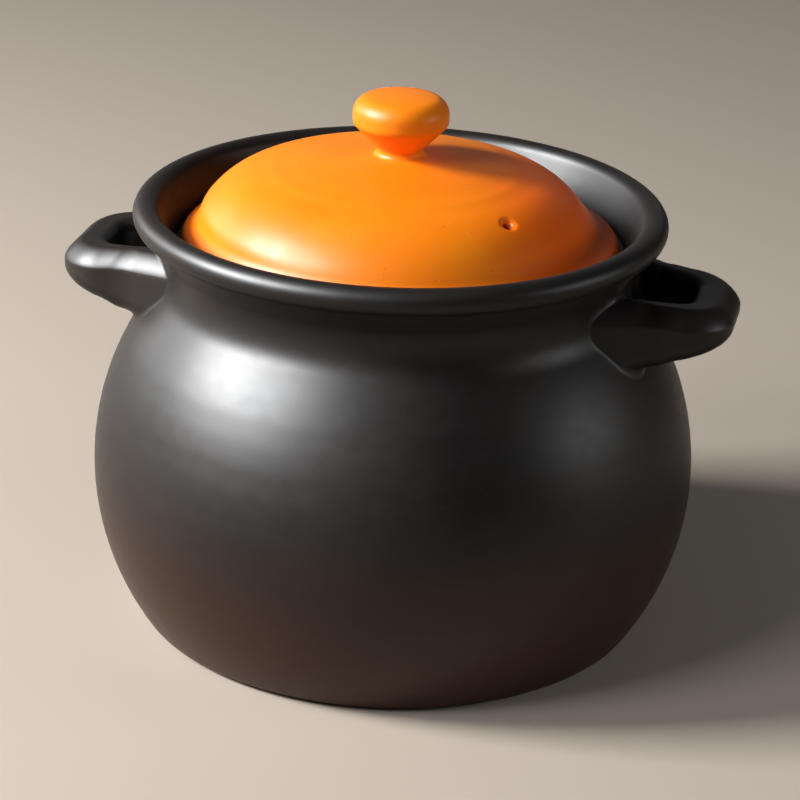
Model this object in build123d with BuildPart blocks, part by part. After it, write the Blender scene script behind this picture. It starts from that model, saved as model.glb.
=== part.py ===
from build123d import *
import os
from math import acos, asin, atan2, degrees, sqrt

os.makedirs("parts", exist_ok=True)

# A lidded clay stew pot: a round belly on a foot ring, a flared collar with a rolled lip,
# two loop ears, and a domed lid that rests on a ledge inside the collar.
# Millimetres. The pot's axis is Z, the foot ring stands on z = 0 and the ears lie along X.
# Sections are drawn as (radius, height) and turned about the axis.

# Pot, outside
belly_radius = 120.5
belly_height = 64.0
belly_arc_radius = 109.0
shoulder_rise = 78.0
neck_blend = 18.0
collar_rise = 30.2
collar_flare = 17.4
lip_roll = 5.2
lip_crease_blend = 2.0
foot_corner_blend = 8.0
foot_ring_width = 21.7
foot_recess_depth = 2.5
foot_recess_slope = 3.0

# Pot, inside
wall = 6.5
floor_thickness = 8.0
floor_blend = 16.0
ledge_rise = 11.2
throat_inset = 8.6
throat_height = 7.0
ledge_blend = 2.5
seat_drop = 19.0
seat_width = 9.5
seat_corner_blend = 2.0
seat_edge_blend = 1.2

# Ears, measured from the neck's corner
ear_root_inset = 11.6
ear_waist_offset = 17.4
ear_reach = 46.9
ear_root_half_width = 41.0
ear_waist_half_width = 30.5
ear_tip_half_width = 28.5
ear_tip_blend_share = 0.7
ear_waist_blend = 30.0
ear_bar_width = 17.5
ear_slot_blend_share = 0.7
ear_top_at_root = 9.9
ear_top_at_tip = 4.7
ear_bottom_at_root = 27.0
ear_bottom_at_tip = 7.7
ear_edge_blend = 6.0
ear_root_blend = 4.0
ear_bed_depth = 0.2

# Lid
brim_clearance = 2.5
brim_width = 6.4
brim_thickness = 7.2
brim_root_blend = 12.0
lid_rise = 31.2
lid_shoulder_width = 23.6
lid_crown_drop = 8.0
lid_wall = 5.5
skirt_clearance = 1.5
skirt_depth = 7.0
skirt_thickness = 5.5
skirt_edge_blend = 1.5
vent_radius = 1.8
vent_mouth_radius = 4.0
vent_angle = -37.4
vent_inset = 5.9
vent_mouth_angle = 100.0

# Knob
knob_radius = 18.8
knob_rise = 24.2
knob_crown = 2.0
knob_rim_thickness = 11.6
knob_top_blend = 7.8
knob_rim_blend = 3.2
knob_waist_radius = 8.2
knob_waist_rise = 1.4
knob_waist_blend = 3.0
knob_foot_radius = 13.0
knob_foot_depth = 3.0

# Cuts run past the faces that they break through by this much
overrun = 5.0

belly_center = Vector(belly_radius - belly_arc_radius, belly_height)


def arc_angle(radius_of_arc, height):
    """Angle on an arc about the belly's centre at which it passes a height."""
    return degrees(asin((height - belly_height) / radius_of_arc))


def arc_point(radius_of_arc, height):
    """Point (radius, height) where an arc about the belly's centre passes a height."""
    angle = arc_angle(radius_of_arc, height)
    return belly_center + Vector(radius_of_arc, 0).rotate(Axis.Z, angle)


# The pot's outside, filled solid: the ears are cut to it, and the pot is hollowed from it
neck_height = belly_height + shoulder_rise
pot_height = neck_height + collar_rise
foot_corner = arc_point(belly_arc_radius, 0)
neck_corner = arc_point(belly_arc_radius, neck_height)
lip_center = Vector(neck_corner.X + collar_flare - lip_roll, pot_height - lip_roll)
lip_underside = lip_center - Vector(0, lip_roll)

with BuildPart() as pot_envelope:
    with BuildSketch(Plane.XZ) as envelope_section:
        with BuildLine():
            foot_angle = arc_angle(belly_arc_radius, 0)
            neck_angle = arc_angle(belly_arc_radius, neck_height)
            Line((0, 0), foot_corner)
            CenterArc(belly_center, belly_arc_radius, foot_angle, neck_angle - foot_angle)
            Line(neck_corner, lip_underside)
            lip_arc = CenterArc(lip_center, lip_roll, -90, 180)
            Line(lip_arc @ 1, (0, pot_height))
            Line((0, pot_height), (0, 0))
        make_face()
        for corner, blend in (
            (foot_corner, foot_corner_blend),
            (neck_corner, neck_blend),
            (lip_underside, lip_crease_blend),
        ):
            fillet(envelope_section.vertices().sort_by_distance(corner)[0], radius=blend)
    revolve(axis=Axis.Z)

# The pot: belly hollow, ledge for the lid, flared collar and the recess inside the foot ring
seat_height = pot_height - seat_drop
throat_radius = neck_corner.X - throat_inset
throat_foot = Vector(throat_radius, seat_height - throat_height)
seat_edge = Vector(throat_radius, seat_height)
seat_corner = Vector(throat_radius + seat_width, seat_height)
inner_arc_radius = belly_arc_radius - wall
ledge_root_height = throat_foot.Y - ledge_rise
floor_corner = arc_point(inner_arc_radius, floor_thickness)
ledge_root = arc_point(inner_arc_radius, ledge_root_height)

# The collar's inner face leaves the seat and meets the rolled lip without a crease
seat_to_lip = lip_center - seat_corner
collar_angle = degrees(atan2(seat_to_lip.Y, seat_to_lip.X) + asin(lip_roll / seat_to_lip.length))
collar_length = sqrt(seat_to_lip.length**2 - lip_roll**2)
collar_end = seat_corner + Vector(collar_length, 0).rotate(Axis.Z, collar_angle)

with BuildPart() as pot_body:
    add(pot_envelope.part)
    with BuildSketch(Plane.XZ) as cavity_section:
        with BuildLine():
            floor_angle = arc_angle(inner_arc_radius, floor_thickness)
            ledge_angle = arc_angle(inner_arc_radius, ledge_root_height)
            Line((0, floor_thickness), floor_corner)
            CenterArc(belly_center, inner_arc_radius, floor_angle, ledge_angle - floor_angle)
            Polyline(ledge_root, throat_foot, seat_edge, seat_corner, collar_end)
            lip_inside = CenterArc(lip_center, lip_roll, 90, collar_angle)
            Line(lip_inside @ 0, (lip_center.X, pot_height + overrun))
            Line((lip_center.X, pot_height + overrun), (0, pot_height + overrun))
            Line((0, pot_height + overrun), (0, floor_thickness))
        make_face()
        for corner, blend in (
            (floor_corner, floor_blend),
            (ledge_root, floor_blend),
            (throat_foot, ledge_blend),
            (seat_edge, seat_edge_blend),
            (seat_corner, seat_corner_blend),
        ):
            fillet(cavity_section.vertices().sort_by_distance(corner)[0], radius=blend)
    revolve(axis=Axis.Z, mode=Mode.SUBTRACT)
    with BuildSketch(Plane.XZ):
        foot_ring_inner_radius = foot_corner.X - foot_ring_width
        with BuildLine():
            Polyline(
                (0, -overrun),
                (foot_ring_inner_radius, -overrun),
                (foot_ring_inner_radius, 0),
                (foot_ring_inner_radius - foot_recess_slope, foot_recess_depth),
                (0, foot_recess_depth),
                close=True,
            )
        make_face()
    revolve(axis=Axis.Z, mode=Mode.SUBTRACT)
pot_body.part.label = "pot_body"

# Ear: a loop seen from above, thick at its roots and thin at its tip seen from the side
ear_root_x = neck_corner.X - ear_root_inset
ear_waist_x = neck_corner.X + ear_waist_offset
ear_tip_x = neck_corner.X + ear_reach
slot_tip_x = ear_tip_x - ear_bar_width
slot_root_half_width = ear_root_half_width - ear_bar_width
slot_tip_half_width = ear_waist_half_width - ear_bar_width
root_top = neck_height + ear_top_at_root
root_bottom = neck_height - ear_bottom_at_root

# The ear's roots are blended onto a bed just under the pot's face, then trimmed to the face
with BuildPart() as ear_bed:
    with BuildSketch(Plane.XZ):
        add(envelope_section.sketch_local)
        offset(amount=-ear_bed_depth)
    revolve(axis=Axis.Z)

with BuildPart() as handle_right:
    with BuildSketch(Plane.XY.offset(root_bottom)) as ear_plan:
        with BuildLine():
            Polyline(
                (ear_root_x, -ear_root_half_width),
                (ear_waist_x, -ear_waist_half_width),
                (ear_tip_x, -ear_tip_half_width),
                (ear_tip_x, ear_tip_half_width),
                (ear_waist_x, ear_waist_half_width),
                (ear_root_x, ear_root_half_width),
                close=True,
            )
        make_face()
        plan_corners = ear_plan.vertices().group_by(Axis.X)
        fillet(plan_corners[-1], radius=ear_tip_half_width * ear_tip_blend_share)
        fillet(plan_corners[-2], radius=ear_waist_blend)
    extrude(amount=root_top - root_bottom)
    with BuildSketch(Plane.XY.offset(root_bottom - overrun)) as slot_plan:
        with BuildLine():
            Polyline(
                (ear_root_x - overrun, -slot_root_half_width),
                (ear_root_x, -slot_root_half_width),
                (slot_tip_x, -slot_tip_half_width),
                (slot_tip_x, slot_tip_half_width),
                (ear_root_x, slot_root_half_width),
                (ear_root_x - overrun, slot_root_half_width),
                close=True,
            )
        make_face()
        slot_blend = slot_tip_half_width * ear_slot_blend_share
        fillet(slot_plan.vertices().group_by(Axis.X)[-1], radius=slot_blend)
    extrude(amount=root_top - root_bottom + overrun * 2, mode=Mode.SUBTRACT)
    with BuildSketch(Plane.XZ):
        with BuildLine():
            Polyline(
                (ear_root_x, root_bottom),
                (ear_tip_x, neck_height - ear_bottom_at_tip),
                (ear_tip_x, neck_height + ear_top_at_tip),
                (ear_root_x, root_top),
                close=True,
            )
        make_face()
    extrude(amount=ear_root_half_width + overrun, both=True, mode=Mode.INTERSECT)
    top_and_bottom = handle_right.faces().sort_by(Axis.Z)
    bar_edges = top_and_bottom[0].edges() + top_and_bottom[-1].edges()
    root_plane_edges = handle_right.faces().sort_by(Axis.X)[0:2].edges()
    fillet([edge for edge in bar_edges if edge not in root_plane_edges], radius=ear_edge_blend)
    ear_alone = handle_right.part
    add(ear_bed.part)
    roots = new_edges(ear_alone, ear_bed.part, combined=handle_right.part)
    fillet(roots, radius=ear_root_blend)
    add(pot_envelope.part, mode=Mode.SUBTRACT)
handle_right.part.label = "handle_right"

with BuildPart() as handle_left:
    mirror(handle_right.part, about=Plane.YZ)
handle_left.part.label = "handle_left"

# Lid: a low crown, a tighter shoulder that sweeps out into a rounded brim, and a skirt that
# drops into the throat
brim_top = seat_height + brim_thickness
brim_half = brim_thickness / 2
skirt_radius = throat_radius - skirt_clearance
skirt_bottom = seat_height - skirt_depth
brim_radius = seat_corner.X - brim_clearance
dome_foot_radius = brim_radius - brim_width
lid_top = brim_top + lid_rise
lid_crown_radius = dome_foot_radius - lid_shoulder_width
crown_end = Vector(lid_crown_radius, lid_top - lid_crown_drop)
dome_foot = Vector(dome_foot_radius, brim_top)
outward = Vector(1, 0)

with BuildPart() as lid_dome:
    with BuildSketch(Plane.XZ) as lid_section:
        with BuildLine():
            crown = TangentArc((0, lid_top), crown_end, tangent=outward)
            shoulder = TangentArc(crown_end, dome_foot, tangent=crown % 1, mode=Mode.PRIVATE)
            # The sweep touches the shoulder's circle and the brim's round from outside
            shoulder_center = shoulder.arc_center
            brim_center = Vector(brim_radius - brim_half, brim_top - brim_half)
            shoulder_reach = shoulder.radius + brim_root_blend
            brim_reach = brim_half + brim_root_blend
            span = brim_center - shoulder_center
            across = (shoulder_reach**2 + span.length**2 - brim_reach**2) / (2 * span.length)
            lean = degrees(acos(across / shoulder_reach))
            sweep_way = span.normalized().rotate(Axis.Z, lean)
            sweep_center = shoulder_center + sweep_way * shoulder_reach
            sweep_start = shoulder_center + sweep_way * shoulder.radius
            sweep_end = brim_center + (sweep_center - brim_center).normalized() * brim_half
            TangentArc(crown_end, sweep_start, tangent=crown % 1)
            sweep = TangentArc(sweep_start, sweep_end, tangent=sweep_way.rotate(Axis.Z, -90))
            brim_bottom = brim_center - Vector(0, brim_half)
            TangentArc(sweep_end, brim_bottom, tangent=sweep % 1)
            Polyline(
                brim_bottom,
                (skirt_radius, seat_height),
                (skirt_radius, skirt_bottom),
                (skirt_radius - skirt_thickness, skirt_bottom),
                (skirt_radius - skirt_thickness, brim_top - lid_wall),
            )
            inward_normal = (crown % 1).rotate(Axis.Z, -90)
            inner_crown_end = crown_end + inward_normal * lid_wall
            inner_crown = TangentArc((0, lid_top - lid_wall), inner_crown_end, tangent=outward)
            TangentArc(
                inner_crown_end,
                (skirt_radius - skirt_thickness, brim_top - lid_wall),
                tangent=inner_crown % 1,
            )
            Line((0, lid_top - lid_wall), (0, lid_top))
        make_face()
        skirt_corners = lid_section.vertices().group_by(Axis.Y)[0]
        fillet(skirt_corners, radius=skirt_edge_blend)
    revolve(axis=Axis.Z)
    # Steam vent, pierced square to the shoulder, with a flared mouth
    vent_out = lid_crown_radius + vent_inset - shoulder.arc_center.X
    vent_up = sqrt(shoulder.radius**2 - vent_out**2)
    vent_slope = Vector(vent_out, 0, vent_up)
    shoulder_center = Vector(shoulder.arc_center.X, 0, shoulder.arc_center.Y)
    vent_plane = Plane(
        origin=(shoulder_center + vent_slope).rotate(Axis.Z, vent_angle),
        z_dir=vent_slope.rotate(Axis.Z, vent_angle),
    )
    with Locations(vent_plane):
        CounterSinkHole(
            radius=vent_radius,
            counter_sink_radius=vent_mouth_radius,
            depth=lid_wall + overrun,
            counter_sink_angle=vent_mouth_angle,
        )
lid_dome.part.label = "lid_dome"

# Knob: a flat-topped button on a cone, its foot flared out onto the crown
knob_top = lid_top + knob_rise
with BuildPart() as lid_knob:
    with BuildSketch(Plane.XZ) as knob_section:
        knob_top_corner = Vector(knob_radius, knob_top - knob_crown)
        knob_rim_corner = Vector(knob_radius, knob_top - knob_rim_thickness)
        knob_waist = Vector(knob_waist_radius, lid_top + knob_waist_rise)
        with BuildLine():
            TangentArc((0, knob_top), knob_top_corner, tangent=outward)
            Polyline(
                knob_top_corner,
                knob_rim_corner,
                knob_waist,
                (knob_foot_radius, lid_top - knob_foot_depth),
                (0, lid_top - knob_foot_depth),
                (0, knob_top),
            )
        make_face()
        for corner, blend in (
            (knob_top_corner, knob_top_blend),
            (knob_rim_corner, knob_rim_blend),
            (knob_waist, knob_waist_blend),
        ):
            fillet(knob_section.vertices().sort_by_distance(corner)[0], radius=blend)
    revolve(axis=Axis.Z)
    add(lid_dome.part, mode=Mode.SUBTRACT)
lid_knob.part.label = "lid_knob"

export_step(pot_body.part, "parts/pot_body.step")
export_step(handle_right.part, "parts/handle_right.step")
export_step(handle_left.part, "parts/handle_left.step")
export_step(lid_dome.part, "parts/lid_dome.step")
export_step(lid_knob.part, "parts/lid_knob.step")
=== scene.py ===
import logging
import math
from dataclasses import dataclass, field
from enum import Enum

import bmesh
import bpy
from mathutils import Matrix, Vector
from mathutils.bvhtree import BVHTree


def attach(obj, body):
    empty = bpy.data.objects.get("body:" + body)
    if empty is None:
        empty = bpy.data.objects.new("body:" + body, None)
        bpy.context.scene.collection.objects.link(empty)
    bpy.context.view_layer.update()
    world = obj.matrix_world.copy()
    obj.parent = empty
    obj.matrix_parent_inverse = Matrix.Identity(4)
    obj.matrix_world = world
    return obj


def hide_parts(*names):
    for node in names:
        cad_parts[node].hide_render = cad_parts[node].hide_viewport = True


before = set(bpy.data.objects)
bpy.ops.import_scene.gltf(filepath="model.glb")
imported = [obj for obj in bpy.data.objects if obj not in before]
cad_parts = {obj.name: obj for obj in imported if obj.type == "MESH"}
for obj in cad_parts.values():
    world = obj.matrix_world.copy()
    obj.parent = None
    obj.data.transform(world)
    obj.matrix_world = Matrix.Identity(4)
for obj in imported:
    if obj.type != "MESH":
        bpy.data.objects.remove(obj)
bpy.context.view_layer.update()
Colour = tuple[float, float, float]
Span = tuple[float, float]
Socket = bpy.types.NodeSocket
LOG = logging.getLogger("sand_pot")
MM = 0.001
ORIGIN = Vector((0, 0, 0))
LEAN_WAY = Vector((0.978, 0.208))
LEAST_ARC_STEPS = 4
WELD = 0.002 * MM


class Plane(Enum):
    """The two planes that outlines are drawn in."""

    SECTION = "section"
    PLAN = "plan"


class Side(Enum):
    """The side of the pot that an ear is on."""

    RIGHT = 1
    LEFT = -1


def fillet_centre(
    point: Vector, along: Vector, side: Vector, blend: float, centre: Vector, reach: float
) -> Vector:
    """Finds the centre of a fillet between a straight line and a circle.

    Args:
        point: A point of the line.
        along: The line's unit direction, towards the fillet.
        side: The unit normal of the line on the fillet's side.
        blend: The fillet's radius.
        centre: The circle's centre.
        reach: Distance from the circle's centre to the fillet's centre.

    Returns:
        The fillet's centre.
    """
    base = point + side * blend - centre
    slope = base.dot(along)
    half = math.sqrt(slope**2 - base.length_squared + reach**2)
    return centre + base + along * (half - slope if base.length < reach else -half - slope)


class Outline:
    """A chain of edges drawn in a plane by spinning its last vertex along lines and arcs."""

    def __init__(self, bm: bmesh.types.BMesh, plane: Plane, start: Vector, pitch: float) -> None:
        """Starts the chain.

        Args:
            bm: The mesh that the chain is drawn into.
            plane: The plane of the outline.
            start: The first point, in the plane's two coordinates.
            pitch: The length of an edge, about.
        """
        self.bm = bm
        self.plane = plane
        self.pitch = pitch
        self.here = start.copy()
        self.tip = bm.verts.new(self.lift(start))

    def lift(self, point: Vector) -> Vector:
        """Turns a point of the plane into a point in space."""
        if self.plane is Plane.SECTION:
            return Vector((point.x, 0, point.y))
        return Vector((point.x, point.y, 0))

    def spin(self, centre: Vector, angle: float, shift: Vector, steps: int) -> None:
        """Spins the last vertex and takes the new last one as the tip.

        Args:
            centre: The centre of the turn, in the plane.
            angle: The whole angle, positive from the first axis to the second.
            shift: The way that each step moves along, in the plane.
            steps: The number of new edges.
        """
        axis = (0, -1, 0) if self.plane is Plane.SECTION else (0, 0, 1)
        turned = bmesh.ops.spin(
            self.bm,
            geom=[self.tip],
            cent=self.lift(centre),
            axis=axis,
            dvec=self.lift(shift),
            angle=angle,
            steps=steps,
            use_merge=False,
            use_duplicate=False,
        )
        self.tip = next(g for g in turned["geom_last"] if isinstance(g, bmesh.types.BMVert))

    def line(self, end: Vector, steps: int = 0) -> None:
        """Draws a straight line.

        Args:
            end: Where the line ends.
            steps: The number of edges, or zero to take it from the pitch.
        """
        way = end - self.here
        count = steps or max(1, round(way.length / self.pitch))
        self.spin(Vector((0, 0)), 0.0, way / count, count)
        self.here = end.copy()

    def arc(self, end: Vector, centre: Vector, left: bool, steps: int = 0) -> None:
        """Draws an arc.

        Args:
            end: Where the arc ends.
            centre: The arc's centre.
            left: Whether the arc turns from the first axis towards the second.
            steps: The number of edges, or zero to take it from the pitch.
        """
        first, last = self.here - centre, end - centre
        angle = math.atan2(last.y, last.x) - math.atan2(first.y, first.x)
        angle %= math.tau
        if not left:
            angle -= math.tau
        count = steps or max(LEAST_ARC_STEPS, round(abs(angle) * last.length / self.pitch))
        self.spin(centre, angle, Vector((0, 0)), count)
        self.here = end.copy()

    def corner(
        self, at: Vector, after: Vector, blend: float, steps: tuple[int, int] = (0, 0)
    ) -> None:
        """Draws a line up to a corner and rounds the corner.

        Args:
            at: The sharp corner.
            after: A point on the way that the outline leaves the corner.
            blend: The radius of the round.
            steps: The numbers of edges of the line and of the round, or zeros.
        """
        back, on = (self.here - at).normalized(), (after - at).normalized()
        half = math.acos(max(-1.0, min(1.0, back.dot(on)))) / 2
        centre = at + (back + on).normalized() * (blend / math.sin(half))
        cut = blend / math.tan(half)
        left = back.x * on.y - back.y * on.x < 0
        self.line(at + back * cut, steps[0])
        self.arc(at + on * cut, centre, left, steps[1])


@dataclass(frozen=True)
class Noise:
    """A noise pattern, with the values between which a finish fades from one look to another."""

    scale: float
    detail: float
    limits: Span
    squash: float = 1.0


@dataclass(frozen=True)
class Relief:
    """Fine relief after a pattern: its depth in metres and its strength."""

    depth: float
    strength: float


class Recipe:
    """Builds one material's nodes."""

    def __init__(self, name: str) -> None:
        """Starts an empty material with a shader and coordinates fixed to the piece."""
        self.material = bpy.data.materials.new(name)
        self.material.use_nodes = True
        self.tree = self.material.node_tree
        self.tree.nodes.clear()
        self.shader = self.tree.nodes.new("ShaderNodeBsdfPrincipled")
        self.output = self.tree.nodes.new("ShaderNodeOutputMaterial")
        self.tree.links.new(self.shader.outputs["BSDF"], self.output.inputs["Surface"])
        self.place = self.tree.nodes.new("ShaderNodeTexCoord").outputs["Object"]

    def noise(self, noise: Noise) -> Socket:
        """Adds a noise pattern.

        Args:
            noise: Its waves to the metre, its octaves and how much finer it is upright than level.

        Returns:
            The pattern's value.
        """
        stretch = self.tree.nodes.new("ShaderNodeMapping")
        stretch.inputs["Scale"].default_value = (1, 1, noise.squash)
        node = self.tree.nodes.new("ShaderNodeTexNoise")
        node.inputs["Scale"].default_value = noise.scale
        node.inputs["Detail"].default_value = noise.detail
        self.tree.links.new(self.place, stretch.inputs["Vector"])
        self.tree.links.new(stretch.outputs["Vector"], node.inputs["Vector"])
        return node.outputs["Fac"]

    def patches(self, noise: Noise, to: Span = (0.0, 1.0)) -> Socket:
        """Adds a noise pattern that fades between its limits, mapped onto a range."""
        return self.spread(self.noise(noise), *noise.limits, to)

    def spread(self, value: Socket, low: float, high: float, to: Span = (0.0, 1.0)) -> Socket:
        """Maps a value smoothly onto a range.

        Args:
            value: The value.
            low: The value that gives the range's start.
            high: The value that gives the range's end.
            to: The range.

        Returns:
            The mapped value.
        """
        node = self.tree.nodes.new("ShaderNodeMapRange")
        node.interpolation_type = "SMOOTHSTEP"
        node.inputs["From Min"].default_value = low
        node.inputs["From Max"].default_value = high
        node.inputs["To Min"].default_value = to[0]
        node.inputs["To Max"].default_value = to[1]
        self.tree.links.new(value, node.inputs["Value"])
        return node.outputs["Result"]

    def sum(self, first: Socket, second: Socket | float = 0.0, how: str = "ADD") -> Socket:
        """Joins two values.

        Args:
            first: The first value.
            second: The second value, or a number, which the operation may leave unused.
            how: The operation's name in Blender's math node.

        Returns:
            The result.
        """
        node = self.tree.nodes.new("ShaderNodeMath")
        node.operation = how
        self.tree.links.new(first, node.inputs[0])
        if isinstance(second, float):
            node.inputs[1].default_value = second
        else:
            self.tree.links.new(second, node.inputs[1])
        return node.outputs["Value"]

    def blend(self, share: Socket, first: Colour | Socket, second: Colour | Socket) -> Socket:
        """Mixes two colours.

        Args:
            share: How much of the second colour shows.
            first: The first colour.
            second: The second colour.

        Returns:
            The mixed colour.
        """
        node = self.tree.nodes.new("ShaderNodeMix")
        node.data_type = "RGBA"
        self.tree.links.new(share, node.inputs["Factor"])
        for name, colour in (("A", first), ("B", second)):
            socket = next(s for s in node.inputs if s.name == name and s.type == "RGBA")
            if isinstance(colour, tuple):
                socket.default_value = (*colour, 1)
            else:
                self.tree.links.new(colour, socket)
        return next(s for s in node.outputs if s.type == "RGBA")

    def height(self) -> Socket:
        """Gives the height above the table, in metres."""
        node = self.tree.nodes.new("ShaderNodeSeparateXYZ")
        self.tree.links.new(self.place, node.inputs["Vector"])
        return node.outputs["Z"]

    def radius(self) -> Socket:
        """Gives the distance from the pot's axis, in metres."""
        flat = self.tree.nodes.new("ShaderNodeVectorMath")
        flat.operation = "MULTIPLY"
        flat.inputs[1].default_value = (1, 1, 0)
        size = self.tree.nodes.new("ShaderNodeVectorMath")
        size.operation = "LENGTH"
        self.tree.links.new(self.place, flat.inputs[0])
        self.tree.links.new(flat.outputs["Vector"], size.inputs[0])
        return size.outputs["Value"]

    def along(self, way: Vector) -> Socket:
        """Gives the distance from the pot's middle along a level way, in metres."""
        node = self.tree.nodes.new("ShaderNodeVectorMath")
        node.operation = "DOT_PRODUCT"
        node.inputs[1].default_value = (*way, 0)
        self.tree.links.new(self.place, node.inputs[0])
        return node.outputs["Value"]

    def bump(self, *layers: tuple[Socket, Relief]) -> None:
        """Adds fine relief.

        Args:
            layers: For each layer its pattern and its relief.
        """
        normal = None
        for pattern, relief in layers:
            node = self.tree.nodes.new("ShaderNodeBump")
            node.inputs["Strength"].default_value = relief.strength
            node.inputs["Distance"].default_value = relief.depth
            self.tree.links.new(pattern, node.inputs["Height"])
            if normal is not None:
                self.tree.links.new(normal, node.inputs["Normal"])
            normal = node.outputs["Normal"]
        self.tree.links.new(normal, self.shader.inputs["Normal"])

    def set(self, **values: float | Socket) -> None:
        """Sets the shader's sockets, each by its name with underscores for spaces."""
        for key, value in values.items():
            socket = self.shader.inputs[key.replace("_", " ")]
            if isinstance(value, Socket):
                self.tree.links.new(value, socket)
            else:
                socket.default_value = value


@dataclass(frozen=True)
class Glaze:
    """What both glazes share: a fine grain, an uneven face and rougher bare clay."""

    grain: Noise = Noise(900, 3, (0.66, 0.74))
    uneven: Noise = Noise(150, 4, (0.3, 0.7), 1.6)
    roughness: Span = (0.42, 0.45)
    clay_roughness: float = 0.5
    gloss: float = 0.28
    uneven_relief: Relief = Relief(0.3 * MM, 0.06)
    grain_relief: Relief = Relief(0.06 * MM, 0.1)

    def coat(
        self,
        r: Recipe,
        grain: Socket,
        colour: Socket,
        clay: Colour | Socket,
        bare: Socket,
    ) -> bpy.types.Material:
        """Completes a material with its bare clay, its roughness and its relief.

        Args:
            r: The recipe.
            grain: The fine grain.
            colour: The glaze's colour.
            clay: The clay's colour.
            bare: How bare the clay is.

        Returns:
            The material.
        """
        uneven = r.noise(self.uneven)
        smooth = r.spread(uneven, *self.uneven.limits, self.roughness)
        r.set(
            Base_Color=r.blend(bare, colour, clay),
            Roughness=r.sum(smooth, r.sum(bare, self.clay_roughness, "MULTIPLY")),
            Specular_IOR_Level=self.gloss,
        )
        r.bump((uneven, self.uneven_relief), (grain, self.grain_relief))
        return r.material


@dataclass(frozen=True)
class BlackGlaze(Glaze):
    """Satin black glaze, brown where it is thin and with a painted brown reflection low down, that
    stops short of the foot and the ledge.
    """

    deep: Colour = (0.005, 0.0038, 0.0034)
    thin: Colour = (0.012, 0.0078, 0.0058)
    speck: Colour = (0.02, 0.013, 0.01)
    low: Colour = (0.036, 0.0125, 0.006)
    # Painted reflection: a brown that stands in for warm surroundings seen in the gloss, low on the
    # body.
    clay: Colour = (0.27, 0.2, 0.145)
    clay_dark: Colour = (0.17, 0.12, 0.085)
    cloud: Noise = Noise(16, 5, (0.35, 0.7))
    mottle: Noise = Noise(420, 6, (0.35, 0.65))
    wander: Noise = Noise(60, 3, (0.2, 0.8))
    wander_reach: float = 0.5 * MM
    painted_reflection_band: Span = (85 * MM, 15 * MM)
    foot_line: float = 0.9 * MM
    foot_fade: float = 0.25 * MM
    ledge_height: float = 153.2 * MM
    ledge_band: Span = (0.35 * MM, 0.2 * MM)
    ledge_radius: float = 87.3 * MM
    ledge_fade: float = 0.3 * MM

    def make(self) -> bpy.types.Material:
        """Makes the material."""
        r = Recipe("black_glaze")
        grain, height, radius = r.noise(self.grain), r.height(), r.radius()
        glaze = r.blend(r.patches(self.cloud), self.deep, self.thin)
        glaze = r.blend(r.spread(grain, *self.grain.limits), glaze, self.speck)
        # Painted brown reflection, stronger lower down the body.
        glaze = r.blend(r.spread(height, *self.painted_reflection_band), glaze, self.low)
        clay = r.blend(r.patches(self.mottle), self.clay, self.clay_dark)
        wander = r.patches(self.wander, (-self.wander_reach, self.wander_reach))
        foot = r.spread(r.sum(height, wander), self.foot_line, self.foot_line - self.foot_fade)
        level = r.sum(r.sum(height, self.ledge_height, "SUBTRACT"), how="ABSOLUTE")
        flat = r.spread(level, *self.ledge_band)
        edge = r.sum(radius, wander)
        inside = r.spread(edge, self.ledge_radius, self.ledge_radius - self.ledge_fade)
        bare = r.sum(foot, r.sum(flat, inside, "MULTIPLY"), "MAXIMUM")
        return self.coat(r, grain, glaze, clay, bare)


@dataclass(frozen=True)
class OrangeGlaze(Glaze):
    """Glossy orange glaze, deeper where it pools, redder on one side as painted shade, and bare
    under the brim.
    """

    body: Colour = (0.88, 0.2, 0.003)
    thin: Colour = (0.9, 0.24, 0.005)
    # Painted shade: a redder orange for the side of the lid away from the lamps.
    painted_shade: Colour = (0.88, 0.09, 0.002)
    pooled: Colour = (0.76, 0.1, 0.002)
    clay: Colour = (0.3, 0.22, 0.16)
    cloud: Noise = Noise(22, 5, (0.3, 0.72))
    grain: Noise = Noise(700, 3, (0.68, 0.76))
    uneven: Noise = Noise(130, 4, (0.3, 0.7))
    roughness: Span = (0.36, 0.42)
    gloss: float = 0.16
    painted_shade_band: Span = (22 * MM, 62 * MM)
    painted_shade_share: float = 0.7
    crease_band: Span = (165.4 * MM, 159.4 * MM)
    crease_share: float = 0.5
    brim_band: Span = (153.35 * MM, 153.2 * MM)
    skirt_band: Span = (70 * MM, 70.6 * MM)
    uneven_relief: Relief = Relief(0.3 * MM, 0.05)
    grain_relief: Relief = Relief(0.05 * MM, 0.08)

    def make(self) -> bpy.types.Material:
        """Makes the material."""
        r = Recipe("orange_glaze")
        grain, height, radius = r.noise(self.grain), r.height(), r.radius()
        glaze = r.blend(r.patches(self.cloud), self.body, self.thin)
        # Painted shade: the lid turns redder towards the side away from the lamps.
        painted_shade = r.sum(r.spread(r.along(LEAN_WAY), *self.painted_shade_band), self.painted_shade_share, "MULTIPLY")
        glaze = r.blend(painted_shade, glaze, self.painted_shade)
        crease = r.sum(r.spread(height, *self.crease_band), self.crease_share, "MULTIPLY")
        glaze = r.blend(crease, glaze, self.pooled)
        glaze = r.blend(r.spread(grain, *self.grain.limits), glaze, self.pooled)
        under = r.spread(height, *self.brim_band)
        bare = r.sum(under, r.spread(radius, *self.skirt_band), "MULTIPLY")
        return self.coat(r, grain, glaze, self.clay, bare)


def place(bm: bmesh.types.BMesh, name: str) -> bpy.types.Object:
    """Puts a drawn mesh, which is used up, into the scene as an object."""
    mesh = bpy.data.meshes.new(name)
    bm.to_mesh(mesh)
    bm.free()
    thing = bpy.data.objects.new(name, mesh)
    bpy.context.scene.collection.objects.link(thing)
    return thing


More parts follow.
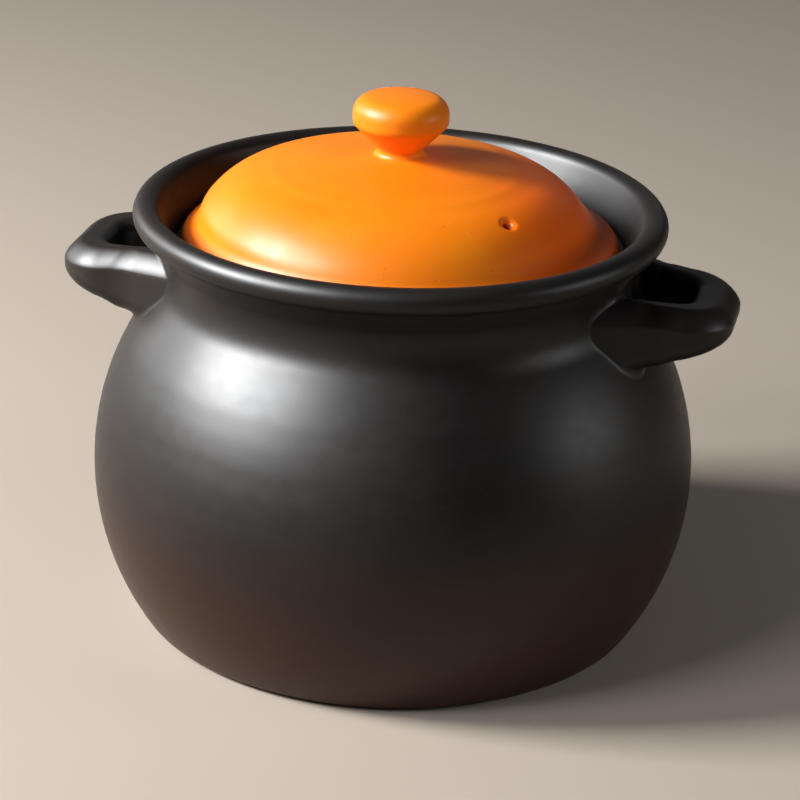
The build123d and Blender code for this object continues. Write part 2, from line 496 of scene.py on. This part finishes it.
def finish_piece(
    bm: bmesh.types.BMesh, name: str, body: str, node: str, material: bpy.types.Material
) -> bpy.types.Object:
    """Turns a shaped mesh into a piece that rides on its body.

    Args:
        bm: The mesh, which is used up.
        name: The piece's name.
        body: The CAD body that it rides on.
        node: The CAD node that it stands for.
        material: The finish.

    Returns:
        The piece.
    """
    bmesh.ops.remove_doubles(bm, verts=bm.verts, dist=WELD)
    bmesh.ops.recalc_face_normals(bm, faces=bm.faces)
    for face in bm.faces:
        face.smooth = True
    piece = place(bm, name)
    piece.data.materials.append(material)
    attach(piece, body)
    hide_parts(node)
    LOG.info("%s: %d faces", name, len(piece.data.polygons))
    return piece


def turn(bm: bmesh.types.BMesh, steps: int) -> None:
    """Turns everything drawn so far about the pot's axis into a closed solid.

    Args:
        bm: The mesh with the section in it.
        steps: The number of segments round the axis.
    """
    bmesh.ops.spin(
        bm,
        geom=bm.verts[:] + bm.edges[:],
        cent=ORIGIN,
        axis=(0, 0, 1),
        dvec=ORIGIN,
        angle=math.tau,
        steps=steps,
        use_merge=True,
        use_duplicate=False,
    )


def point(radius: float, height: float) -> Vector:
    """A point of a section, from millimetres."""
    return Vector((radius * MM, height * MM))


def lean_over(piece: bpy.types.Object, shift: float, low: float, high: float) -> None:
    """Leans a piece to the left as a potter's hand would, more the higher it is.

    Args:
        piece: The piece.
        shift: How far its upper part moves, in millimetres.
        low: The height below which nothing moves, in millimetres.
        high: The height above which everything moves in full.
    """
    for vert in piece.data.vertices:
        share = max(0.0, min(1.0, (vert.co.z / MM - low) / (high - low)))
        vert.co.xy -= LEAN_WAY * shift * MM * share**2 * (3 - 2 * share)


@dataclass
class Pot:
    """The thrown pot: belly, neck, flared collar, ledge and foot ring, in millimetres."""

    belly_radius: float = 120.5
    belly_height: float = 64.0
    arc_radius: float = 109.0
    neck_height: float = 142.0
    neck_blend: float = 18.0
    height: float = 172.2
    lip_radius: float = 105.0
    lip_roll: float = 5.2
    crease_blend: float = 2.0
    foot_blend: float = 8.0
    ring_inner: float = 78.0
    ring_slope: float = 3.0
    ring_flat: float = 10.0
    ring_blend: float = 0.8
    recess: float = 2.5
    wall: float = 6.5
    floor: float = 8.0
    floor_blend: float = 16.0
    throat: float = 79.0
    throat_foot: float = 146.2
    throat_blend: float = 1.2
    throat_foot_blend: float = 2.5
    ledge_root: float = 135.0
    seat: float = 153.2
    seat_radius: float = 88.5
    seat_blend: float = 2.0
    ripple: float = 0.06
    ripple_waves: tuple[tuple[float, float, float], ...] = ((0.3, 0.41, 0.4), (0.2, 0.73, 1.1))
    ripple_band: Span = (12.0, 150.0)
    ripple_fade: Span = (14.0, 20.0)
    ripple_inner: float = 60.0
    throat_band: Span = (79.0, 89.0)
    throat_band_foot: float = 144.0
    pitch: float = 1.3
    lip_pitch: float = 0.7
    steps: int = 200
    centre: Vector = field(init=False)
    lip: Vector = field(init=False)

    def __post_init__(self) -> None:
        """Works out the centres of the belly's arc and of the lip."""
        self.centre = point(self.belly_radius - self.arc_radius, self.belly_height)
        self.lip = point(self.lip_radius - self.lip_roll, self.height - self.lip_roll)

    def on_arc(self, radius: float, height: float) -> Vector:
        """The point at a height on a circle about the belly's centre, from millimetres."""
        rise = height - self.belly_height
        return self.centre + point(math.sqrt(radius**2 - rise**2), rise)

    def meet(self, centre: Vector, radius: float) -> Vector:
        """The point where a fillet's centre line leaves a circle about the belly's centre."""
        return self.centre + (centre - self.centre).normalized() * radius * MM

    def outside(self, line: Outline) -> None:
        """Draws the outside, from the foot ring's underside to the rolled lip's inner end.

        Args:
            line: The outline, with its tip under the foot ring.
        """
        out, down, up = Vector((1, 0)), Vector((0, -1)), Vector((0, 1))
        reach = self.arc_radius - self.foot_blend
        blend = self.foot_blend * MM
        foot = fillet_centre(point(0, 0), out, up, blend, self.centre, reach * MM)
        line.line(foot + down * blend)
        line.arc(self.meet(foot, self.arc_radius), foot, True)
        neck = self.on_arc(self.arc_radius, self.neck_height)
        under = self.lip - point(0, self.lip_roll)
        rise = (under - neck).normalized()
        side = Vector((rise.y, -rise.x))
        blend = self.neck_blend * MM
        reach = self.arc_radius + self.neck_blend
        bend = fillet_centre(under, -rise, side, blend, self.centre, reach * MM)
        line.arc(self.meet(bend, self.arc_radius), self.centre, True)
        line.arc(bend - side * blend, bend, False)
        blend = self.crease_blend * MM
        reach = self.lip_roll + self.crease_blend
        crease = fillet_centre(neck, rise, side, blend, self.lip, reach * MM)
        line.line(crease - side * blend)
        line.pitch = self.lip_pitch * MM
        line.arc(self.lip + (crease - self.lip).normalized() * self.lip_roll * MM, crease, False)
        seat = point(self.seat_radius, self.seat)
        way = seat - self.lip
        angle = math.atan2(-way.y, -way.x) + math.asin(self.lip_roll * MM / way.length)
        inner = self.lip + Vector((-math.sin(angle), math.cos(angle))) * self.lip_roll * MM
        line.arc(inner, self.lip, True)
        line.pitch = self.pitch * MM

    def inside(self, line: Outline) -> None:
        """Draws the inside, from the lip down to the middle of the floor.

        Args:
            line: The outline, with its tip on the lip's inner end.
        """
        seat = point(self.seat_radius, self.seat)
        edge = point(self.throat, self.seat)
        foot = point(self.throat, self.throat_foot)
        inner = self.arc_radius - self.wall
        root = self.on_arc(inner, self.ledge_root)
        line.corner(seat, edge, self.seat_blend * MM)
        line.corner(edge, foot, self.throat_blend * MM)
        line.corner(foot, root, self.throat_foot_blend * MM)
        down = (root - foot).normalized()
        side = Vector((-down.y, down.x))
        blend = self.floor_blend * MM
        reach = (inner + self.floor_blend) * MM
        bend = fillet_centre(foot, down, side, blend, self.centre, reach)
        line.line(bend - side * blend)
        line.arc(self.meet(bend, inner), bend, True)
        reach = (inner - self.floor_blend) * MM
        out, up = Vector((1, 0)), Vector((0, 1))
        floor = fillet_centre(point(0, self.floor), out, up, blend, self.centre, reach)
        line.arc(self.meet(floor, inner), self.centre, False)
        line.arc(floor - Vector((0, blend)), floor, False)
        line.line(point(0, self.floor))

    def ripples(self, bm: bmesh.types.BMesh) -> None:
        """Presses the faint rings of throwing into the wall, always inwards.

        Args:
            bm: The turned mesh.
        """
        low, high = self.ripple_band
        for vert in bm.verts:
            radius, height = vert.co.xy.length / MM, vert.co.z / MM
            at_throat = self.throat_band[0] < radius < self.throat_band[1]
            if radius < self.ripple_inner or not low < height < high:
                continue
            if at_throat and height > self.throat_band_foot:
                continue
            wave = 0.5 + sum(a * math.sin(height * b + c) for a, b, c in self.ripple_waves)
            rise, fall = self.ripple_fade
            fade = min(1.0, (height - low) / rise, (high - height) / fall)
            vert.co.xy *= 1 - self.ripple * wave * fade / radius

    def build(self, material: bpy.types.Material) -> bpy.types.Object:
        """Makes the pot.

        Args:
            material: The finish.

        Returns:
            The piece.
        """
        bm = bmesh.new()
        line = Outline(bm, Plane.SECTION, point(0, self.recess), self.pitch * MM)
        slope = point(self.ring_inner - self.ring_slope, self.recess)
        step = point(self.ring_inner, 0)
        line.corner(slope, step, self.ring_blend * MM)
        line.corner(step, point(self.ring_inner + self.ring_flat, 0), self.ring_blend * MM)
        self.outside(line)
        self.inside(line)
        turn(bm, self.steps)
        self.ripples(bm)
        return finish_piece(bm, "pot_wall", "pot", "pot_body", material)


@dataclass(frozen=True)
class Rail:
    """A station along an ear's bar: its outer and inner points as seen from above."""

    outer: Vector
    inner: Vector


@dataclass(frozen=True)
class Strand:
    """A long line of the bar's skin from the loop's middle to a root, with its outward ways."""

    points: list[Vector]
    ways: list[Vector]

    def at(self, station: float) -> Vector:
        """The point at a station, which may lie between two of the line's points."""
        first = min(int(station), len(self.points) - 2)
        return self.points[first].lerp(self.points[first + 1], station - first)

    def back(self, station: float, length: float) -> float:
        """Walks back along the line.

        Args:
            station: Where the walk starts.
            length: How far it goes.

        Returns:
            The station where it ends.
        """
        while length > 0 and station > 1:
            first = int(math.ceil(station)) - 1
            step = (self.at(station) - self.points[first]).length
            if step >= length:
                return station - length / step * (station - first)
            station, length = float(first), length - step
        return station


@dataclass
class Ear:
    """A loop ear, luted to the shoulder with a smoothed root, in millimetres."""

    side: Side
    root: float = 76.0
    waist: float = 105.0
    tip: float = 134.45
    root_half: float = 43.5
    waist_half: float = 30.5
    tip_half: float = 28.5
    slot_root_half: float = 23.5
    slot_half: float = 13.0
    slot_tip: float = 117.0
    tip_blend: float = 20.0
    waist_blend: float = 30.0
    slot_blend: float = 9.0
    slot_waist: float = 0.6
    top: Span = (151.9, 146.7)
    bottom: Span = (115.0, 134.3)
    rounds: tuple[float, float, float, float] = (7.2, 5.0, 5.6, 6.8)
    facets: tuple[float, float, float, float] = (1.5, 1.0, 1.0, 1.1)
    widest_round: Span = (0.98, 0.96)
    round_steps: int = 8
    flat_steps: tuple[int, int, int, int] = (4, 12, 4, 12)
    leg_steps: int = 22
    line_steps: int = 10
    bend_steps: int = 16
    root_blend: float = 4.0
    root_ease: float = 0.6
    root_steps: int = 9
    root_sink: float = 0.015
    tails: tuple[Span, ...] = ((0.7, 0.08), (1.8, 0.8))
    core: float = 1.5
    free_steps: int = 26
    rest_steps: int = 24

    def rail(self, outer: bool) -> list[Vector]:
        """Draws one edge of the loop as seen from above, from root to root.

        Args:
            outer: Whether it is the outer edge rather than the finger gap's.

        Returns:
            The edge's points in order.
        """
        if outer:
            root, tip = Vector((self.root, -self.root_half)), Vector((self.tip, -self.tip_half))
            waist, blend = Vector((self.waist, -self.waist_half)), self.tip_blend * MM
        else:
            root = Vector((self.root, -self.slot_root_half))
            tip = Vector((self.slot_tip, -self.slot_half))
            waist, blend = root.lerp(tip, self.slot_waist), self.slot_blend * MM
        bm = bmesh.new()
        flip = Vector((1, -1))
        root, waist, tip = root * MM, waist * MM, tip * MM
        legs, lines, bends = self.leg_steps, self.line_steps, self.bend_steps
        line = Outline(bm, Plane.PLAN, root, MM)
        line.corner(waist, tip, self.waist_blend * MM, (legs, lines))
        line.corner(tip, tip * flip, blend, (lines, bends))
        line.corner(tip * flip, waist * flip, blend, (lines, bends))
        line.corner(waist * flip, root * flip, self.waist_blend * MM, (lines, lines))
        line.line(root * flip, legs)
        points = [v.co.copy() for v in bm.verts]
        bm.free()
        return points

    def ends(self, distance: float) -> Span:
        """The heights of the bar's top and bottom at a distance from the axis, in metres."""
        share = (distance / MM - self.root) / (self.tip - self.root)
        top, bottom = (first + (last - first) * share for first, last in (self.top, self.bottom))
        return top * MM, bottom * MM

    def section(self, rail: Rail) -> list[tuple[Vector, Vector]]:
        """Works out the bar's section at a station: a rectangle with four rounds.

        Args:
            rail: The station.

        Returns:
            The section's points in order, each with its outward way.
        """
        middle, half = (rail.outer + rail.inner) / 2, (rail.outer - rail.inner) / 2
        across, width, upright = half.normalized(), half.length, Vector((0, 0, 1))
        top, bottom = self.ends(middle.x)
        tall = (top - bottom) / 2
        centre = Vector((middle.x, middle.y, (top + bottom) / 2))
        found: list[tuple[Vector, Vector]] = []
        for corner, (out, up) in enumerate(((1, 1), (-1, 1), (-1, -1), (1, -1))):
            most = width * self.widest_round[0], tall * self.widest_round[1]
            blend = min(self.rounds[corner] * MM, *most)
            heart = centre + across * out * (width - blend) + upright * up * (tall - blend)
            if found:
                last, way = found[-1]
                steps = self.flat_steps[corner - 1]
                next_one = heart + way * blend
                found += [(last.lerp(next_one, n / steps), way) for n in range(1, steps)]
            first, second = ((across * out, upright * up), (upright * up, across * out))[corner % 2]
            power = self.facets[corner]
            for step in range(self.round_steps + 1):
                angle = step / self.round_steps * math.pi / 2
                on, off = max(0.0, math.cos(angle)), math.sin(angle)
                spot = first * on**power + second * off**power
                way = (first * on ** (2 - power) + second * off ** (2 - power)).normalized()
                found.append((heart + spot * blend, way))
        last, way = found[-1]
        steps = self.flat_steps[3]
        return found + [(last.lerp(found[0][0], n / steps), way) for n in range(1, steps)]

    def reach(self, strand: Strand, wall: BVHTree) -> tuple[float, list[Vector]]:
        """Leads a line of the bar's skin round onto the pot's skin and just under it.

        Args:
            strand: The line, which ends inside the pot's wall.
            wall: The pot's surface.

        Returns:
            The station where the line leaves the bar, and the points of the way from there on.
        """
        depth, station, start = 0.0, 0.0, strand.points[0]
        for index, spot in enumerate(strand.points):
            near, normal, _, _ = wall.find_nearest(spot)
            fresh = (spot - near).dot(normal)
            if fresh < 0:
                station = index - 1 + depth / (depth - fresh)
                break
            depth, start = fresh, spot
        foot = strand.at(station)
        along = (spot - start).normalized()
        normal = wall.find_nearest(foot)[1]
        way = strand.ways[index]
        way = (way - along * way.dot(along)).normalized()
        flat = (along * normal.dot(along) + way * normal.dot(way)).normalized()
        blend = self.root_blend * MM * min(1.0, 1 + self.root_ease * flat.dot(way))
        centre = foot + (way + flat) * (blend / (1 + flat.dot(way)))
        leave = strand.back(station, abs((centre - foot).dot(along)))
        slip = strand.at(leave) - (centre - way * blend)
        land = centre - flat * blend
        near, normal, _, _ = wall.find_nearest(land)
        drift = near - normal * self.root_sink * MM - land
        swing = math.acos(max(-1.0, min(1.0, flat.dot(way))))
        turned = (flat - way * flat.dot(way)).normalized()
        path = []
        for step in range(1, self.root_steps + 1):
            share = step / self.root_steps
            angle = swing * share
            arm = way * math.cos(angle) + turned * math.sin(angle)
            path.append(centre - arm * blend + slip * (1 - share) ** 2 + drift * share**2)
        onward, end = (path[-1] - path[-2]).normalized(), path[-1]
        for forth, under in self.tails:
            near, normal, _, _ = wall.find_nearest(end + onward * forth * MM)
            path.append(near - normal * under * MM)
        path.append(foot + along * self.core * MM)
        return leave, path

    def rings(self, wall: BVHTree) -> list[list[Vector]]:
        """Works out the ear's rings of points, from root to root.

        Args:
            wall: The pot's surface.

        Returns:
            The rings.
        """
        rails = [Rail(o, i) for o, i in zip(self.rail(True), self.rail(False), strict=True)]
        grid = [self.section(rail) for rail in rails]
        middle = len(grid) // 2
        halves = []
        for half in (grid[middle::-1], grid[middle:]):
            columns = []
            for line in zip(*half, strict=True):
                strand = Strand([p for p, _ in line], [w for _, w in line])
                leave, path = self.reach(strand, wall)
                free, rest = self.free_steps, self.rest_steps
                column = strand.points[:free]
                column += [strand.at(free + (leave - free) * n / rest) for n in range(rest + 1)]
                columns.append(column + path)
            halves.append([list(ring) for ring in zip(*columns, strict=True)])
        return halves[0][:0:-1] + halves[1]

    def build(self, wall: BVHTree, material: bpy.types.Material) -> bpy.types.Object:
        """Makes the ear.

        Args:
            wall: The pot's surface.
            material: The finish.

        Returns:
            The piece.
        """
        bm = bmesh.new()
        places = self.rings(wall)
        ring = bmesh.ops.create_circle(bm, segments=len(places[0]), radius=MM)["verts"]
        for index, row in enumerate(places):
            if index:
                edges = [e for e in bm.edges if e.verts[0] in ring and e.verts[1] in ring]
                grown = bmesh.ops.extrude_edge_only(bm, edges=edges)["geom"]
                fresh = {v for v in grown if isinstance(v, bmesh.types.BMVert)}
                beside = [[e.other_vert(v) for e in v.link_edges] for v in ring]
                ring = [next(v for v in group if v in fresh) for group in beside]
            for vert, spot in zip(ring, row, strict=True):
                vert.co = spot
        rims = [e for e in bm.edges if len(e.link_faces) == 1]
        caps = bmesh.ops.holes_fill(bm, edges=rims, sides=0)["faces"]
        bmesh.ops.triangulate(bm, faces=caps)
        bmesh.ops.transform(bm, matrix=Matrix.Diagonal((self.side.value, 1, 1, 1)), verts=bm.verts)
        word = self.side.name.lower()
        return finish_piece(bm, f"ear_{word}", "pot", f"handle_{word}", material)


@dataclass
class Lid:
    """The domed lid with its brim, skirt and steam vent, in millimetres."""

    top: float = 191.6
    crown_radius: float = 56.0
    crown_drop: float = 8.0
    foot_radius: float = 79.6
    seat: float = 153.2
    brim_radius: float = 86.0
    brim: float = 7.2
    sweep: float = 12.0
    wall: float = 5.5
    skirt_radius: float = 77.5
    skirt_depth: float = 7.0
    skirt: float = 5.5
    skirt_root_blend: float = 0.8
    skirt_blend: float = 1.5
    vent_angle: float = -35.5
    vent_at: float = 63.7
    vent_profile: tuple[Span, ...] = (
        (1.8, -12.0),
        (1.8, -2.4),
        (2.0, -1.5),
        (2.5, -0.8),
        (3.2, -0.35),
        (4.2, -0.02),
        (5.2, 0.5),
        (5.2, 4.0),
    )
    vent_steps: int = 48
    ring_radius: float = 48.5
    ring_spread: float = 2.8
    ring_rise: float = 0.2
    skin: float = 2.0
    lean: float = 2.5
    lean_band: Span = (5.0, 18.0)
    pitch: float = 1.0
    rim_pitch: float = 0.6
    steps: int = 240

    def crown_centre(self) -> Vector:
        """The centre of the crown's arc."""
        radius = (self.crown_radius**2 + self.crown_drop**2) / (2 * self.crown_drop)
        return point(0, self.top - radius)

    def shoulder_centre(self) -> Vector:
        """The centre of the shoulder's arc, which runs on from the crown without a crease."""
        start = point(self.crown_radius, self.top - self.crown_drop)
        end = point(self.foot_radius, self.seat + self.brim)
        normal = (start - self.crown_centre()).normalized()
        way = end - start
        return start + normal * way.length_squared / (2 * normal.dot(way))

    def surface(self, radius: float) -> float:
        """The crown's height at a distance from the axis, in millimetres."""
        centre = self.crown_centre() / MM
        return centre.y + math.sqrt((self.top - centre.y) ** 2 - radius**2)

    def section(self, bm: bmesh.types.BMesh) -> None:
        """Draws half of the lid's section.

        Args:
            bm: An empty mesh.
        """
        crown, shoulder = self.crown_centre(), self.shoulder_centre()
        crown_end = point(self.crown_radius, self.top - self.crown_drop)
        brim_top = self.seat + self.brim
        edge = self.brim_radius - self.brim / 2
        rim = point(edge, self.seat + self.brim / 2)
        round_off, bend = self.brim / 2 * MM, self.sweep * MM
        shoulder_radius = (crown_end - shoulder).length
        reach, span = shoulder_radius + bend, rim - shoulder
        along = (reach**2 + span.length_squared - (round_off + bend) ** 2) / (2 * span.length)
        lean = Vector((-span.y, span.x)).normalized() * math.sqrt(reach**2 - along**2)
        root = shoulder + span.normalized() * along + lean
        line = Outline(bm, Plane.SECTION, point(0, self.top), self.pitch * MM)
        line.arc(crown_end, crown, False)
        line.arc(shoulder + (root - shoulder).normalized() * shoulder_radius, shoulder, False)
        line.pitch = self.rim_pitch * MM
        line.arc(rim + (root - rim).normalized() * round_off, root, True)
        line.arc(point(edge, self.seat), rim, False)
        line.pitch = self.pitch * MM
        low = self.seat - self.skirt_depth
        skirt_inner = self.skirt_radius - self.skirt
        hollow_edge = point(skirt_inner, brim_top - self.wall)
        hang, outer = point(self.skirt_radius, self.seat), point(self.skirt_radius, low)
        line.corner(hang, outer, self.skirt_root_blend * MM)
        line.corner(outer, point(skirt_inner, low), self.skirt_blend * MM)
        line.corner(point(skirt_inner, low), hollow_edge, self.skirt_blend * MM)
        line.line(hollow_edge)
        inner_end = crown_end - (crown_end - crown).normalized() * self.wall * MM
        way = hollow_edge - inner_end
        normal = (inner_end - crown).normalized()
        inner_centre = inner_end + normal * way.length_squared / (2 * normal.dot(way))
        line.arc(inner_end, inner_centre, True)
        line.arc(point(0, self.top - self.wall), crown, True)

    def cutter(self) -> bpy.types.Object:
        """Makes the trumpet that pierces the steam vent, square to the shoulder."""
        centre = self.shoulder_centre()
        out = self.vent_at * MM - centre.x
        start = point(self.crown_radius, self.top - self.crown_drop)
        up = math.sqrt((start - centre).length_squared - out**2)
        bm = bmesh.new()
        line = Outline(bm, Plane.SECTION, point(0, self.vent_profile[0][1]), self.pitch * MM)
        for radius, height in self.vent_profile:
            line.line(point(radius, height), 1)
        line.line(point(0, self.vent_profile[-1][1]), 1)
        turn(bm, self.vent_steps)
        tilt = Matrix.Rotation(math.atan2(out, up), 4, "Y")
        move = Matrix.Translation((centre.x + out, 0, centre.y + up))
        swing = Matrix.Rotation(math.radians(self.vent_angle), 4, "Z")
        bmesh.ops.transform(bm, matrix=swing @ move @ tilt, verts=bm.verts)
        bmesh.ops.remove_doubles(bm, verts=bm.verts, dist=WELD)
        bmesh.ops.recalc_face_normals(bm, faces=bm.faces)
        return place(bm, "vent_cutter")

    def pierce(self, lid: bpy.types.Object) -> None:
        """Cuts the steam vent into the lid.

        Args:
            lid: The lid without its vent.
        """
        cutter = self.cutter()
        cut = lid.modifiers.new("vent", "BOOLEAN")
        cut.object = cutter
        cut.operation = "DIFFERENCE"
        cut.solver = "EXACT"
        bpy.context.view_layer.update()
        graph = bpy.context.evaluated_depsgraph_get()
        pierced = bpy.data.meshes.new_from_object(lid.evaluated_get(graph))
        lid.modifiers.clear()
        lid.data = pierced
        bpy.data.objects.remove(cutter)

    def build(self, material: bpy.types.Material) -> bpy.types.Object:
        """Makes the lid.

        Args:
            material: The finish.

        Returns:
            The piece.
        """
        bm = bmesh.new()
        self.section(bm)
        for vert in bm.verts:
            radius = vert.co.x / MM
            if radius < self.crown_radius and vert.co.z / MM > self.surface(radius) - self.skin:
                swell = math.exp(-(((radius - self.ring_radius) / self.ring_spread) ** 2))
                vert.co.z += self.ring_rise * MM * swell
        turn(bm, self.steps)
        lid = finish_piece(bm, "lid_shell", "lid", "lid_dome", material)
        self.pierce(lid)
        low, high = (self.seat + above for above in self.lean_band)
        lean_over(lid, self.lean, low, high)
        return lid


@dataclass
class Knob:
    """The knob: a flat-topped button on a flared foot, in millimetres."""

    lid: Lid
    radius: float = 18.8
    top: float = 215.8
    crown: float = 2.0
    rim_height: float = 204.2
    top_blend: float = 7.8
    edge_blend: float = 6.9
    rim_blend: float = 3.2
    waist_radius: float = 8.2
    waist_height: float = 193.4
    waist_blend: float = 2.2
    foot_radius: float = 10.6
    foot_blend: float = 2.6
    foot_skirt: float = 7.0
    foot_sink: Span = (0.1, 0.3)
    root: float = 2.0
    lean: float = 1.2
    pitch: float = 0.5
    steps: int = 120

    def build(self, material: bpy.types.Material) -> bpy.types.Object:
        """Makes the knob.

        Args:
            material: The finish.

        Returns:
            The piece.
        """
        bm = bmesh.new()
        rim_top = point(self.radius, self.top - self.crown)
        rim = point(self.radius, self.rim_height)
        waist = point(self.waist_radius, self.waist_height)
        foot = point(self.foot_radius, self.lid.surface(self.foot_radius) - self.foot_sink[0])
        hem = self.foot_radius + self.foot_skirt
        skin = point(hem, self.lid.surface(hem) - self.foot_sink[1])
        line = Outline(bm, Plane.SECTION, point(0, self.top), self.pitch * MM)
        crown_radius = (self.radius**2 + self.crown**2) / (2 * self.crown)
        shoulder = self.radius - self.top_blend
        shoulder_height = self.top - crown_radius + math.sqrt(crown_radius**2 - shoulder**2)
        line.arc(point(shoulder, shoulder_height), point(0, self.top - crown_radius), False)
        line.corner(rim_top, rim, self.edge_blend * MM)
        line.corner(rim, waist, self.rim_blend * MM)
        line.corner(waist, foot, self.waist_blend * MM)
        line.corner(foot, skin, self.foot_blend * MM)
        line.line(skin)
        line.line(skin - point(0, self.root))
        line.line(point(0, skin.y / MM - self.root))
        turn(bm, self.steps)
        knob = finish_piece(bm, "knob", "lid", "lid_knob", material)
        lean_over(knob, self.lean, 0, self.waist_height)
        return knob


@dataclass(frozen=True)
class Lamp:
    """An area lamp, placed by its bearing from the camera's side and its height in degrees."""

    name: str
    bearing: float
    rise: float
    distance: float
    size: Span
    power: float
    colour: Colour = (1, 1, 1)
    gloss_only: bool = False


@dataclass
class Studio:
    """The floor, the lights and the camera."""

    azimuth: float = 12.0
    elevation: float = 22.2
    distance: float = 1.2
    roll: float = 1.95
    lens: float = 134.1
    aside: float = 2.1 * MM
    aim: Vector = field(default_factory=lambda: Vector((0, 0, 88 * MM)))
    sensor: float = 36.0
    clip: float = 0.05
    floor_radius: float = 14.0
    floor_steps: int = 96
    floor_roughness: float = 0.9
    floor_colour: Colour = (0.45, 0.395, 0.34)
    sky: Colour = (0.06, 0.06, 0.062)
    lamps: tuple[Lamp, ...] = (
        Lamp("key", -83, 32, 1.6, (0.45, 0.35), 48, (1, 0.98, 0.95)),
        Lamp("softbox", -76, 36, 1.6, (1.2, 0.8), 145, (0.94, 0.97, 1), gloss_only=True),
        Lamp("window", -52, 38, 1.5, (0.5, 0.4), 8),
        Lamp("card", 80, 16, 1.6, (0.7, 0.5), 6),
        Lamp("rear", -122, 16, 1.6, (0.8, 0.6), 10, gloss_only=True),
        Lamp("backdrop", 180, 20, 1.6, (2.0, 0.5), 0.7, gloss_only=True),
    )

    def direction(self, lamp: Lamp) -> Vector:
        """The way from the pot to a lamp."""
        bearing, rise = math.radians(self.azimuth + lamp.bearing), math.radians(lamp.rise)
        level = Vector((math.sin(bearing), -math.cos(bearing), 0))
        return level * math.cos(rise) + Vector((0, 0, math.sin(rise)))

    def floor(self) -> None:
        """Lays the pale floor."""
        bm = bmesh.new()
        bmesh.ops.create_circle(
            bm, cap_ends=True, segments=self.floor_steps, radius=self.floor_radius
        )
        r = Recipe("floor_paint")
        r.set(
            Base_Color=(*self.floor_colour, 1),
            Roughness=self.floor_roughness,
            Specular_IOR_Level=0.0,
        )
        floor = place(bm, "floor")
        floor.data.materials.append(r.material)

    def light(self) -> None:
        """Hangs the lamps and sets the sky."""
        for lamp in self.lamps:
            data = bpy.data.lights.new(lamp.name, "AREA")
            data.shape = "RECTANGLE"
            data.size, data.size_y = lamp.size
            data.energy = lamp.power
            data.color = lamp.colour
            way = self.direction(lamp)
            thing = bpy.data.objects.new(lamp.name, data)
            thing.location = self.aim + way * lamp.distance
            thing.rotation_euler = (-way).to_track_quat("-Z", "Y").to_euler()
            bpy.context.scene.collection.objects.link(thing)
            thing.visible_diffuse = not lamp.gloss_only
        world = bpy.data.worlds.new("studio")
        world.use_nodes = True
        world.node_tree.nodes["Background"].inputs["Color"].default_value = (*self.sky, 1)
        bpy.context.scene.world = world

    def camera(self) -> None:
        """Sets the camera at the photograph's angle."""
        data = bpy.data.cameras.new("camera")
        data.lens = self.lens
        data.sensor_width = self.sensor
        data.clip_start = self.clip
        turn_z = Matrix.Rotation(math.radians(self.azimuth), 3, "Z")
        tilt = math.radians(self.elevation)
        target = self.aim + turn_z @ Vector((self.aside, 0, 0))
        back = turn_z @ Vector((0, -math.cos(tilt), math.sin(tilt)))
        look = (-back).to_track_quat("-Z", "Y").to_matrix()
        camera = bpy.data.objects.new("camera", data)
        roll = Matrix.Rotation(math.radians(self.roll), 3, "Z")
        camera.rotation_euler = (look @ roll).to_euler()
        camera.location = target + back * self.distance
        bpy.context.scene.collection.objects.link(camera)
        bpy.context.scene.camera = camera
        bpy.context.scene.view_settings.view_transform = "Standard"

    def build(self) -> None:
        """Sets up the whole studio."""
        self.floor()
        self.light()
        self.camera()


def surface_of(piece: bpy.types.Object) -> BVHTree:
    """Reads a piece's surface for measuring against."""
    return BVHTree.FromPolygons(
        [v.co.copy() for v in piece.data.vertices], [p.vertices[:] for p in piece.data.polygons]
    )


def main() -> None:
    """Builds the pot, its ears, the lid and the knob, and sets up the studio."""
    black = BlackGlaze().make()
    orange = OrangeGlaze().make()
    pot = Pot().build(black)
    wall = surface_of(pot)
    for side in Side:
        Ear(side).build(wall, black)
    lid = Lid()
    lid.build(orange)
    Knob(lid).build(orange)
    Studio().build()


if __name__ == "__main__":
    logging.basicConfig(level=logging.INFO, format="%(name)s: %(message)s")
    main()
